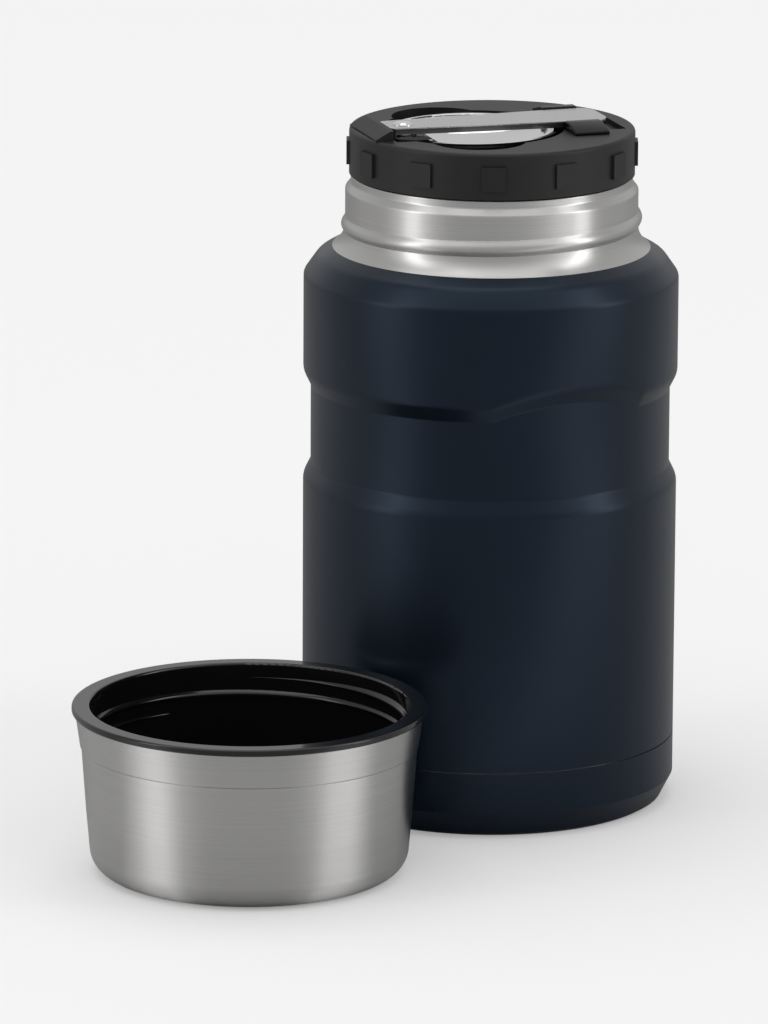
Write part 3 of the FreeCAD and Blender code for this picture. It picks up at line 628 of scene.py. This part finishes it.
@dataclass
class Thread:
    """A rolled screw thread that winds round an upright wall and fades out at both ends."""

    name: str
    body: Body
    finish: Finish
    slot: str
    wall_radius: float
    height: float
    width: float
    lead: float
    turns: float
    start_angle: float
    start_level: float
    side: Side = Side.OUTSIDE
    centre: Tuple[float, float] = (0.0, 0.0)
    root_depth: float = 0.3 * MM
    fade: float = 0.09
    steps: int = 96
    section_points: int = 26

    def build(self) -> bpy.types.Object:
        """Wind the thread with Geometry Nodes and put it on its body.

        Returns:
            The finished piece.
        """
        piece = bpy.data.objects.new(self.name, bpy.data.meshes.new(self.name))
        bpy.context.scene.collection.objects.link(piece)
        modifier = piece.modifiers.new("winding", "NODES")
        modifier.node_group = thread_winding()
        sizes = {
            "Wall radius": self.wall_radius,
            "Height": self.height * self.side.value,
            "Width": self.width * self.side.value,
            "Root depth": self.root_depth * self.side.value,
            "Lead": self.lead,
            "Turns": self.turns,
            "Start angle": self.start_angle,
            "Fade": self.fade,
            "Steps": round(self.steps * self.turns),
            "Section points": self.section_points,
            "Centre": (self.centre[0], self.centre[1], self.start_level),
            "Finish": self.finish.make(),
        }
        for item in modifier.node_group.interface.items_tree:
            if item.item_type == "SOCKET" and item.in_out == "INPUT" and item.name in sizes:
                modifier[item.identifier] = sizes[item.name]
        return as_plain_mesh(piece, self.body)


def thread_winding() -> bpy.types.NodeTree:
    """Build the tree that winds a thread, or return the one that was built before.

    Returns:
        A tree with named inputs for the thread's sizes.
    """
    known = bpy.data.node_groups.get("thread_winding")
    if known:
        return known
    group = bpy.data.node_groups.new("thread_winding", "GeometryNodeTree")
    group.interface.new_socket("Geometry", in_out="INPUT", socket_type="NodeSocketGeometry")
    for name in ("Wall radius", "Height", "Width", "Root depth", "Lead", "Turns", "Start angle", "Fade"):
        group.interface.new_socket(name, in_out="INPUT", socket_type="NodeSocketFloat")
    for name in ("Steps", "Section points"):
        group.interface.new_socket(name, in_out="INPUT", socket_type="NodeSocketInt")
    group.interface.new_socket("Centre", in_out="INPUT", socket_type="NodeSocketVector")
    group.interface.new_socket("Finish", in_out="INPUT", socket_type="NodeSocketMaterial")
    group.interface.new_socket("Geometry", in_out="OUTPUT", socket_type="NodeSocketGeometry")
    tree = Tree(group)
    given = group.nodes.new("NodeGroupInput")
    sizes = {output.name: Value(tree, output) for output in given.outputs if output.name}
    course = tree.node("GeometryNodeMeshLine", None, {"Count": sizes["Steps"]})
    course = tree.node("GeometryNodeMeshToCurve", None, {0: course})
    along = tree.node("GeometryNodeSplineParameter", None, None, "Factor")
    angle = along * sizes["Turns"] * math.tau + sizes["Start angle"]
    point = tree.vector(
        angle.cosine() * sizes["Wall radius"],
        angle.sine() * sizes["Wall radius"],
        along * sizes["Turns"] * sizes["Lead"],
    )
    point = tree.node("ShaderNodeVectorMath", {"operation": "ADD"}, {0: point, 1: sizes["Centre"]})
    course = tree.node("GeometryNodeSetPosition", None, {"Geometry": course, "Position": point})
    course = tree.node("GeometryNodeSetCurveNormal", {"mode": "Z_UP"}, {"Curve": course})
    ends = along.clamped_high(1.0 - along) / sizes["Fade"]
    swell = TIP_SCALE + (1.0 - TIP_SCALE) * ends.eased(0.0, 1.0)
    section = tree.node(
        "GeometryNodeCurvePrimitiveCircle",
        {"mode": "RADIUS"},
        {"Resolution": sizes["Section points"], "Radius": 1.0},
    )
    outward, upward, _ = tree.parts(tree.node("GeometryNodeInputPosition"))
    crest, root = outward.clamped_low(0.0), outward.clamped_high(0.0)
    shaped = tree.vector(
        crest * crest * crest * sizes["Height"] + root * sizes["Root depth"],
        upward * sizes["Width"] / 2.0,
        0.0,
    )
    section = tree.node("GeometryNodeSetPosition", None, {"Geometry": section, "Position": shaped})
    ridge = tree.node(
        "GeometryNodeCurveToMesh",
        None,
        {"Curve": course, "Profile Curve": section, "Scale": swell, "Fill Caps": True},
    )
    ridge = tree.node("GeometryNodeRealizeInstances", None, {0: ridge})
    ridge = tree.node("GeometryNodeSetMaterial", None, {"Geometry": ridge, "Material": sizes["Finish"]})
    tree.node("NodeGroupOutput", None, {0: ridge})
    return group


# Outer wall


@dataclass
class ArchedWall:
    """Turned outer wall of the jar, whose waist rises in a shallow arch on one side.

    Radii and levels are those of the sharp corners, which the roundings then cut.
    """

    name: str = "painted_wall"
    body_radius: float = 50.0 * MM
    wall: float = 0.8 * MM
    low: float = 18.05 * MM
    waist_radius: float = 48.0 * MM
    waist_low: float = 91.6 * MM
    waist_high: float = 112.8 * MM
    waist_slope: float = 4.0 * MM
    waist_round: float = 5.0 * MM
    waist_hollow: float = 1.6 * MM
    shoulder_level: float = 142.9 * MM
    shoulder_round: float = 2.5 * MM
    crown_radius: float = 46.4 * MM
    crown_level: float = 148.0 * MM
    crown_round: float = 5.0 * MM
    paint_edge_radius: float = 42.4 * MM
    paint_edge_level: float = 150.3 * MM
    neck_radius: float = 39.0 * MM
    neck_foot_level: float = 152.408 * MM
    neck_foot_round: float = 7.2 * MM
    collar_level: float = 166.0 * MM
    collar_round: float = 1.0 * MM
    lip_radius: float = 37.5 * MM
    lip_level: float = 167.8 * MM
    top: float = 169.0 * MM
    sharp_angle: float = math.radians(28.0)
    arch_azimuth: float = math.radians(-63.0)
    arch_half_angle: float = math.radians(27.0)
    arch_rise: float = 4.4 * MM
    columns: int = 360

    def profile(self, inset: float) -> List[Tuple[float, float]]:
        """Lay out the wall's course from the seam up to the lip.

        Args:
            inset: How far the course lies inside the outer face.

        Returns:
            Radius and height of each row, with the rounded corners in short steps.
        """
        full, waist, slope = self.body_radius, self.waist_radius, self.waist_slope
        corners = [
            (full, self.low, 0.0),
            (full, self.waist_low - slope, self.waist_round),
            (waist, self.waist_low, self.waist_hollow),
            (waist, self.waist_high, self.waist_hollow),
            (full, self.waist_high + slope, self.waist_round),
            (full, self.shoulder_level, self.shoulder_round),
            (self.crown_radius, self.crown_level, self.crown_round),
            (self.paint_edge_radius, self.paint_edge_level, 0.0),
            (self.neck_radius, self.neck_foot_level, self.neck_foot_round),
            (self.neck_radius, self.collar_level, self.collar_round),
            (self.lip_radius, self.lip_level, self.collar_round),
            (self.lip_radius, self.top, 0.0),
        ]
        return [(radius - inset, level) for radius, level in rounded_course(corners)]

    def lifted(self, level: float, angle: float) -> float:
        """Raise a row of the waist's upper edge by the arch.

        Args:
            level: Height of the row.
            angle: Direction on the plan.

        Returns:
            The height at that direction.
        """
        lowest = self.waist_high - 2.0 * self.waist_hollow
        highest = self.waist_high + 3.0 * self.waist_slope
        if not lowest < level < highest:
            return level
        turn = math.remainder(angle - self.arch_azimuth, math.tau) / self.arch_half_angle
        return level + self.arch_rise * max(0.0, 1.0 - turn * turn)

    def build(self) -> bpy.types.Object:
        """Turn the wall, close its two ends and put it in place of the CAD node.

        Returns:
            The finished piece.
        """
        made = bmesh.new()
        angles = [math.tau * i / self.columns for i in range(self.columns)]
        rings = []
        for radius, level in self.profile(0.0) + self.profile(self.wall)[::-1]:
            spots = [(radius * math.cos(a), radius * math.sin(a), self.lifted(level, a)) for a in angles]
            rings.append([made.verts.new(spot) for spot in spots])
        for lower, upper in zip(rings, rings[1:] + rings[:1]):
            for i in range(self.columns):
                j = (i + 1) % self.columns
                made.faces.new((lower[i], lower[j], upper[j], upper[i]))
        bmesh.ops.recalc_face_normals(made, faces=made.faces)
        mesh = bpy.data.meshes.new(self.name)
        made.to_mesh(mesh)
        made.free()
        for finish in (PAINT, NECK_STEEL):
            mesh.materials.append(finish.make())
        for polygon in mesh.polygons:
            polygon.use_smooth = True
            polygon.material_index = int(polygon.center.z > self.paint_edge_level)
        mesh.set_sharp_from_angle(angle=self.sharp_angle)
        piece = bpy.data.objects.new(self.name, mesh)
        bpy.context.scene.collection.objects.link(piece)
        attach(piece, Body.JAR.value)
        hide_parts("outer_shell")
        LOG.info("built %s with its arch", self.name)
        return piece


def rounded_course(
    corners: Sequence[Tuple[float, float, float]], step: float = math.radians(9.0)
) -> List[Tuple[float, float]]:
    """Round the corners of a course of straight runs.

    Args:
        corners: Radius and level of each corner, and the radius of its arc or nought.
        step: Greatest turn between two points of an arc.

    Returns:
        Points of the course.
    """
    course = []
    spots = [Vector((across, level)) for across, level, _ in corners]
    for i, (corner, (_, _, radius)) in enumerate(zip(spots, corners)):
        if radius <= 0.0:
            course.append(tuple(corner))
            continue
        back, onward = (spots[i - 1] - corner).normalized(), (spots[i + 1] - corner).normalized()
        half = back.angle(onward) / 2.0
        centre = corner + (back + onward).normalized() * (radius / math.sin(half))
        start = corner + back * (radius / math.tan(half)) - centre
        turn = start.angle_signed(corner + onward * (radius / math.tan(half)) - centre)
        count = max(2, math.ceil(abs(turn) / step))
        for k in range(count + 1):
            spoke = Matrix.Rotation(-turn * k / count, 2) @ start
            course.append(tuple(centre + spoke))
    return course


# Sub-assemblies


@dataclass
class JarBody:
    """Painted body of the jar with its base cap, its vacuum vessel and its two threads."""

    thread_lead: float = 4.4 * MM
    thread_height: float = 1.07 * MM
    thread_width: float = 4.5 * MM
    thread_turns: float = 1.16
    thread_crest_in_front: float = 157.3 * MM
    mouth_radius: float = 36.0 * MM
    mouth_thread_low: float = 158.6 * MM
    mouth_thread_turns: float = 1.5

    def build(self) -> None:
        """Dress the jar's nodes and wind its threads."""
        wall = ArchedWall()
        wall.build()
        dress("base_cap", PAINT)
        for node in ("outer_bottom", "inner_vessel", "inner_bottom"):
            dress(node, STEEL)
        for node in ("vacuum_seal", "getter"):
            dress(node, SOLDER)
        dress("reflector_foil", FOIL)
        half = self.thread_turns / 2
        Thread(
            name="neck_thread",
            body=Body.JAR,
            finish=NECK_STEEL,
            slot="bare_steel",
            wall_radius=wall.neck_radius,
            height=self.thread_height,
            width=self.thread_width,
            lead=self.thread_lead,
            turns=self.thread_turns,
            start_angle=-math.pi / 2 - half * math.tau,
            start_level=self.thread_crest_in_front - half * self.thread_lead,
        ).build()
        Thread(
            name="mouth_thread",
            body=Body.JAR,
            finish=STEEL,
            slot="bare_steel",
            wall_radius=self.mouth_radius,
            height=Stopper.thread_height,
            width=Stopper.thread_width,
            lead=Stopper.thread_lead,
            turns=self.mouth_thread_turns,
            start_angle=0.0,
            start_level=self.mouth_thread_low,
            side=Side.INSIDE,
        ).build()


@dataclass
class Stopper:
    """Screw stopper with the recess, the clips and the end tab that hold the spoon."""

    plug_radius: float = 34.4 * MM
    thread_lead: float = 6.0 * MM
    thread_height: float = 1.1 * MM
    thread_width: float = 2.2 * MM
    thread_turns: float = 1.75
    thread_low: float = 156.6 * MM
    thread_start: float = math.radians(60.0)
    clip_round: float = 0.9 * MM

    def build(self) -> None:
        """Dress the stopper's nodes, round the clips and wind the plug's thread."""
        Thread(
            name="plug_thread",
            body=Body.STOPPER,
            finish=BLACK,
            slot="black_plastic",
            wall_radius=self.plug_radius,
            height=self.thread_height,
            width=self.thread_width,
            lead=self.thread_lead,
            turns=self.thread_turns,
            start_angle=self.thread_start,
            start_level=self.thread_low,
        ).build()
        dress("stopper_cover", BLACK)
        dress("spoon_tray", BLACK)
        rounded_copy(
            "spoon_clips", "clip_blocks", Body.STOPPER, CLIP_BLACK, self.clip_round
        )
        dress("stopper_plug", BLACK)
        dress("stopper_foam", FOAM)
        dress("seal_ring", SILICONE)


@dataclass
class FoldingSpoon:
    """Steel spoon that folds about its rivet."""

    heading: float = math.radians(17.5)
    face_edge: float = 0.3 * MM

    def build(self) -> None:
        """Dress the spoon's nodes, with the handle painted darker below its face as a painted reflection
        of the dark deck.
        """
        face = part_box("spoon_handle")[1].z - self.face_edge
        dress("spoon_handle", SatinSteel("satin_steel", heading=self.heading, face_level=face))
        for node in ("spoon_rivet", "rivet_washer", "spoon_bowl"):
            dress(node, POLISHED)


@dataclass
class ServingBowl:
    """Steel bowl with a black liner, which screws over the stopper as the jar's lid."""

    liner_radius: float = 41.3 * MM
    thread_height: float = 1.1 * MM
    thread_width: float = 2.4 * MM
    thread_turns: float = 2.0
    thread_top_behind: float = 40.6 * MM

    def build(self) -> None:
        """Dress the bowl's nodes and wind its thread."""
        low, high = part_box("bowl_liner")
        centre = ((low.x + high.x) / 2, (low.y + high.y) / 2)
        dress("bowl_shell", BrushedSteel("bowl_steel", axis=centre))
        dress("bowl_liner", GLOSSY)
        Thread(
            name="bowl_thread",
            body=Body.LID_BOWL,
            finish=GLOSSY,
            slot="glossy_black_plastic",
            wall_radius=self.liner_radius,
            height=self.thread_height,
            width=self.thread_width,
            lead=JarBody.thread_lead,
            turns=self.thread_turns,
            start_angle=math.pi / 2 - self.thread_turns * math.tau,
            start_level=self.thread_top_behind - self.thread_turns * JarBody.thread_lead,
            side=Side.INSIDE,
            centre=centre,
        ).build()


# Studio


def grey(shade: float) -> Colour:
    """Make a colour without a tint."""
    return (shade, shade, shade)


@dataclass
class SoftLamp:
    """A flat soft lamp that looks at the object."""

    name: str
    place: Tuple[float, float, float]
    size: Tuple[float, float]
    power: float
    target: Tuple[float, float, float] = (-0.02, 0.0, 0.09)

    def build(self) -> None:
        """Add the lamp."""
        data = bpy.data.lights.new(self.name, "AREA")
        data.shape = "RECTANGLE"
        data.size, data.size_y = self.size
        data.energy = self.power
        lamp = bpy.data.objects.new(self.name, data)
        bpy.context.scene.collection.objects.link(lamp)
        lamp.location = self.place
        view = Vector(self.target) - lamp.location
        lamp.rotation_euler = view.to_track_quat("-Z", "Y").to_euler()


@dataclass
class Studio:
    """Pale floor, soft lamps, plain surroundings and the camera."""

    camera_place: Tuple[float, float, float] = (-0.02823, -2.18487, 0.61176)
    camera_tilt: float = math.radians(90.0 - 13.755)
    camera_roll: float = math.radians(0.289)
    lens: float = 294.64
    sensor: float = 36.0
    sight: float = 50.0
    floor_half: float = 6.0
    floor_shade: float = 0.85
    floor_glow: float = 0.28
    floor_white: float = 0.905
    room_light: float = 0.85
    background: float = 0.86
    backdrop_mirrored: float = 0.62
    backdrop_sides: float = 0.7
    backdrop_foot: float = 0.2
    mirrored_middle: Tuple[float, float] = (-0.063, -0.103)
    mirrored_shades: Tuple[Tuple[float, float], ...] = (
        (0.0, 0.48),
        (0.08, 0.5),
        (0.17, 0.66),
        (0.26, 1.16),
        (0.36, 1.12),
        (0.45, 0.82),
        (0.54, 0.54),
        (0.8, 0.52),
        (1.0, 0.32),
    )
    lamps: List[SoftLamp] = field(
        default_factory=lambda: [
            SoftLamp("left_softbox", (-1.45, -0.68, 0.75), (0.42, 1.9), 3.4),
            SoftLamp("right_softbox", (1.52, -0.42, 0.75), (0.42, 1.9), 4.6),
            SoftLamp("key_panel", (-0.4, 1.2, 6.5), (5.0, 5.0), 83.0),
        ]
    )

    def build(self) -> None:
        """Set up the whole studio."""
        self._floor()
        self._world()
        for lamp in self.lamps:
            lamp.build()
        self._camera()
        bpy.context.scene.view_settings.view_transform = "Standard"
        LOG.info("studio is set")

    def _floor(self) -> None:
        """Lay the floor, whose colour for mirror rays is painted in bands round the object: painted
        reflections, bright to left and right and dim in front and behind.
        """
        mesh = bpy.data.meshes.new("floor")
        half = self.floor_half
        corners = [(-half, -half, 0.0), (half, -half, 0.0), (half, half, 0.0), (-half, half, 0.0)]
        mesh.from_pydata(corners, [], [(0, 1, 2, 3)])
        material = bpy.data.materials.new("floor_white")
        material.use_nodes = True
        material.node_tree.nodes.clear()
        tree = Tree(material.node_tree)
        across, along, _ = tree.parts(tree.node("ShaderNodeTexCoord", None, None, "Object"))
        across, along = across - self.mirrored_middle[0], along - self.mirrored_middle[1]
        depth = along / (across * across + along * along).root().clamped_low(MM)
        rays = tree.node("ShaderNodeLightPath").socket.node
        seen, mirrored = (Value(tree, rays.outputs[name]) for name in ("Is Camera Ray", "Is Glossy Ray"))
        bands = self._room_shade(tree, depth, self.floor_shade)
        # For mirror rays the floor's colour is painted in bands: painted reflections rather than light
        # that falls on it.
        matt = tree.node(
            "ShaderNodeBsdfDiffuse", None, {"Color": tree.blend(mirrored, grey(self.floor_shade), bands)}
        )
        white = (*grey(self.floor_white), 1.0)
        glow = tree.node("ShaderNodeEmission", None, {"Color": white, "Strength": 1.0})
        surface = tree.node("ShaderNodeMixShader", None, {0: seen * self.floor_glow, 1: matt, 2: glow})
        tree.node("ShaderNodeOutputMaterial", None, {"Surface": surface})
        mesh.materials.append(material)
        floor = bpy.data.objects.new("floor", mesh)
        bpy.context.scene.collection.objects.link(floor)

    def _room_shade(self, tree: Tree, depth: Value, scale: float) -> Value:
        """Shade of the room that mirrors show, by how far a direction leads away from the camera; on the
        floor it is a painted reflection.
        """
        stops = [(place, grey(shade * scale)) for place, shade in self.mirrored_shades]
        return tree.node("ShaderNodeValToRGB", {"stops": stops}, {0: depth * 0.5 + 0.5})

    def _world(self) -> None:
        """Surround the object with a plain pale room that mirrors show in bands."""
        world = bpy.data.worlds.new("studio")
        bpy.context.scene.world = world
        world.use_nodes = True
        world.node_tree.nodes.clear()
        tree = Tree(world.node_tree)
        rays = tree.node("ShaderNodeLightPath").socket.node
        seen = Value(tree, rays.outputs["Is Camera Ray"])
        mirrored = Value(tree, rays.outputs["Is Glossy Ray"])
        through = Value(tree, rays.outputs["Is Transmission Ray"])
        white = seen.clamped_low(mirrored).clamped_low(through)
        _, depth, height = tree.parts(tree.node("ShaderNodeTexCoord", None, None, "Generated"))
        backdrop = depth.eased(0.0, self.backdrop_sides) * height.eased(0.0, self.backdrop_foot)
        room = tree.blend(backdrop, self._room_shade(tree, depth, 1.0), grey(self.backdrop_mirrored))
        room = tree.blend(seen, room, grey(self.background))
        shade = tree.blend(white, grey(self.room_light), room)
        sky = tree.node("ShaderNodeBackground", None, {"Color": shade, "Strength": 1.0})
        tree.node("ShaderNodeOutputWorld", None, {"Surface": sky})

    def _camera(self) -> None:
        """Stand the camera where the photograph was taken from."""
        data = bpy.data.cameras.new("camera")
        data.sensor_width = self.sensor
        data.lens = self.lens
        data.clip_end = self.sight
        camera = bpy.data.objects.new("camera", data)
        bpy.context.scene.collection.objects.link(camera)
        look = Matrix.Rotation(self.camera_tilt, 4, "X") @ Matrix.Rotation(self.camera_roll, 4, "Z")
        camera.matrix_world = Matrix.Translation(self.camera_place) @ look
        bpy.context.scene.camera = camera


def main() -> None:
    """Build the studio and each sub-assembly in order."""
    logging.basicConfig(level=logging.INFO, format="%(name)s: %(message)s")
    for part in (Studio(), JarBody(), Stopper(), FoldingSpoon(), ServingBowl()):
        part.build()


if __name__ == "__main__":
    main()
